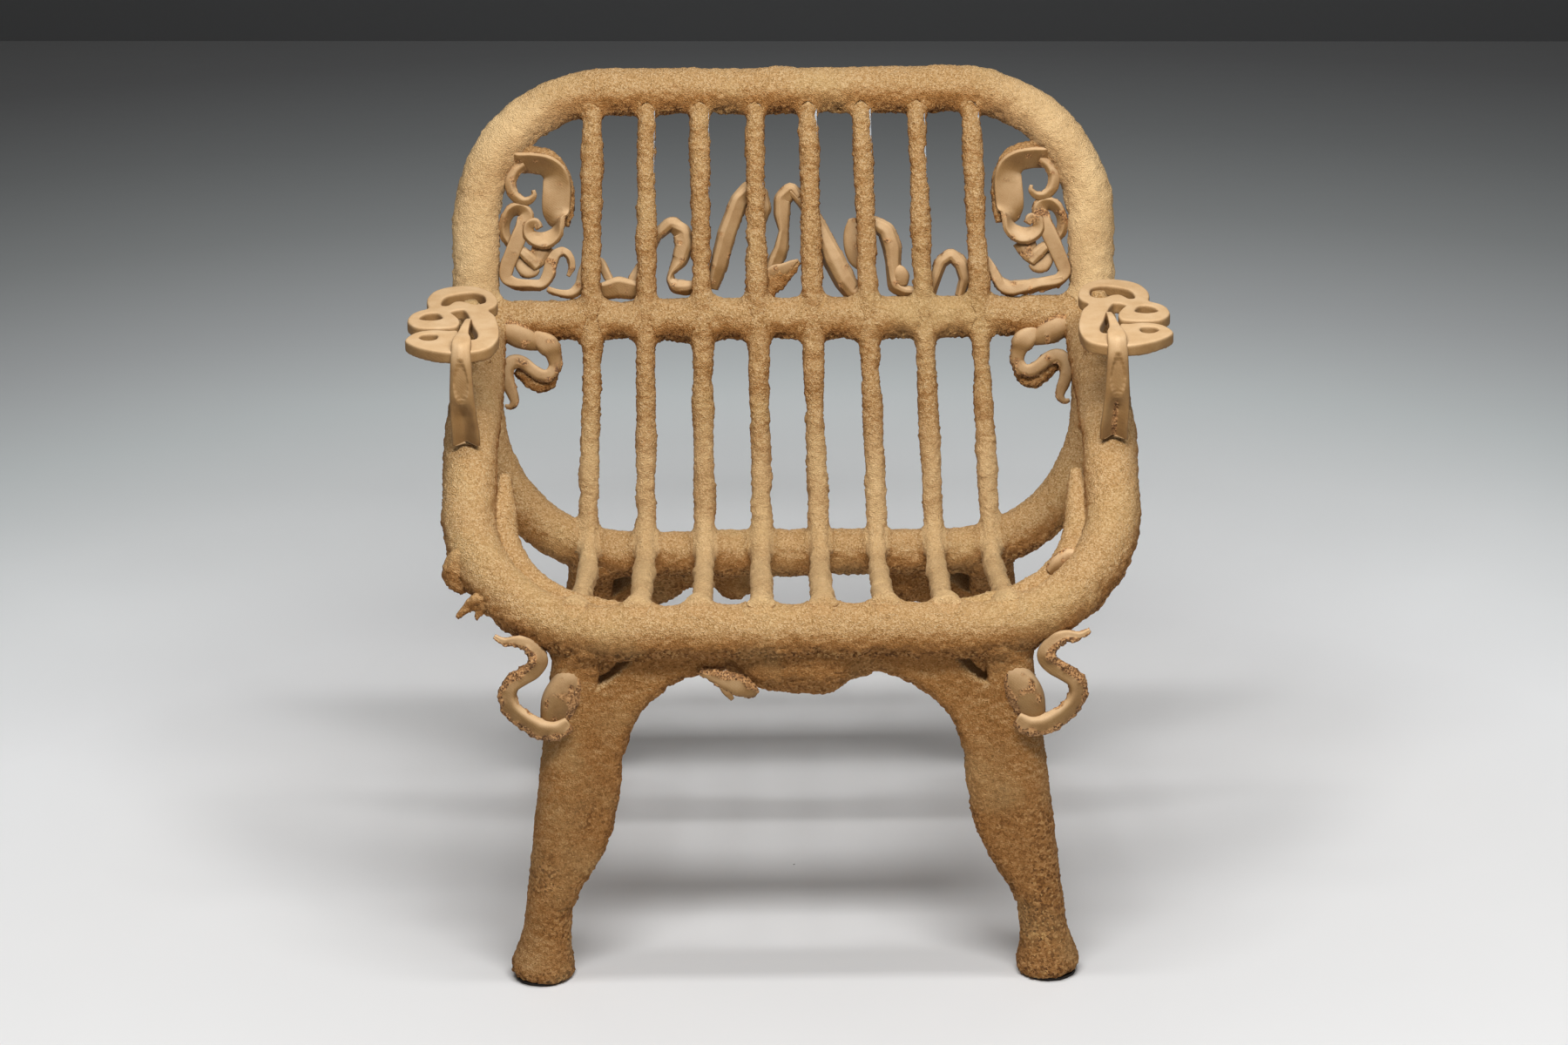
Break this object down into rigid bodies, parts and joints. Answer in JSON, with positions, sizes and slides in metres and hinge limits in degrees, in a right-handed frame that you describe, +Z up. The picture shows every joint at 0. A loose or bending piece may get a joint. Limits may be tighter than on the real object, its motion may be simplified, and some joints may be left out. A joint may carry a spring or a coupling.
{
  "type": "lounge chair",
  "caption": "Rigid lounge armchair: steel-cored hoops, slats and splayed legs buried in thick crumbly wood paste, with printed ribbon scrollwork at the back, arms and legs.",
  "frame": {"origin": "on the floor under the middle of the chair's box", "axes": "+X to the right as one faces the chair, +Y to its back, +Z up"},
  "size_m": [0.8372, 0.6065, 0.8682],
  "materials": {
    "wood_paste": "coarse dry paste of sawdust and torn flakes, matt",
    "printed_wood": "smooth printed wood compound with fine layer lines, matt",
    "steel_bar": "plain bar, hidden inside the paste",
    "glide_pad": "thin dark pad under each foot"
  },
  "bodies": {
    "root": {"apron_keystone": "wood_paste", "apron_leaf": "wood_paste", "arm_hoop": "wood_paste", "arm_hoop_core": "steel_bar", "back_hoop": "wood_paste", "back_hoop_core": "steel_bar", "corner_leaves": "wood_paste", "garland_arch": "printed_wood", "garland_loop": "printed_wood", "garland_peak": "printed_wood", "garland_strip": "printed_wood", "garland_wave": "printed_wood", "left_arm_post": "wood_paste", "left_arm_scroll": "printed_wood", "left_arm_strap": "printed_wood", "left_c_scroll": "printed_wood", "left_front_bracket": "wood_paste", "left_front_leg": "wood_paste", "left_front_leg_core": "steel_bar", "left_front_pad": "glide_pad", "left_hook": "printed_wood", "left_leaf": "printed_wood", "left_leg_hook": "wood_paste", "left_rear_bracket": "wood_paste", "left_rear_leg": "wood_paste", "left_rear_leg_core": "steel_bar", "left_rear_pad": "glide_pad", "left_s_ribbon": "printed_wood", "left_seat_ledge": "wood_paste", "left_tail": "wood_paste", "mid_rail": "wood_paste", "mid_rail_core": "steel_bar", "right_arm_post": "wood_paste", "right_arm_scroll": "printed_wood", "right_arm_strap": "printed_wood", "right_c_scroll": "printed_wood", "right_front_bracket": "wood_paste", "right_front_leg": "wood_paste", "right_front_leg_core": "steel_bar", "right_front_pad": "glide_pad", "right_hook": "printed_wood", "right_leaf": "printed_wood", "right_leg_hook": "wood_paste", "right_rear_bracket": "wood_paste", "right_rear_leg": "wood_paste", "right_rear_leg_core": "steel_bar", "right_rear_pad": "glide_pad", "right_s_ribbon": "printed_wood", "right_seat_ledge": "wood_paste", "right_tail": "wood_paste", "slat_1": "wood_paste", "slat_2": "wood_paste", "slat_3": "wood_paste", "slat_4": "wood_paste", "slat_5": "wood_paste", "slat_6": "wood_paste", "slat_7": "wood_paste", "slat_8": "wood_paste", "slat_rods": "steel_bar"}
  },
  "joints": []
}
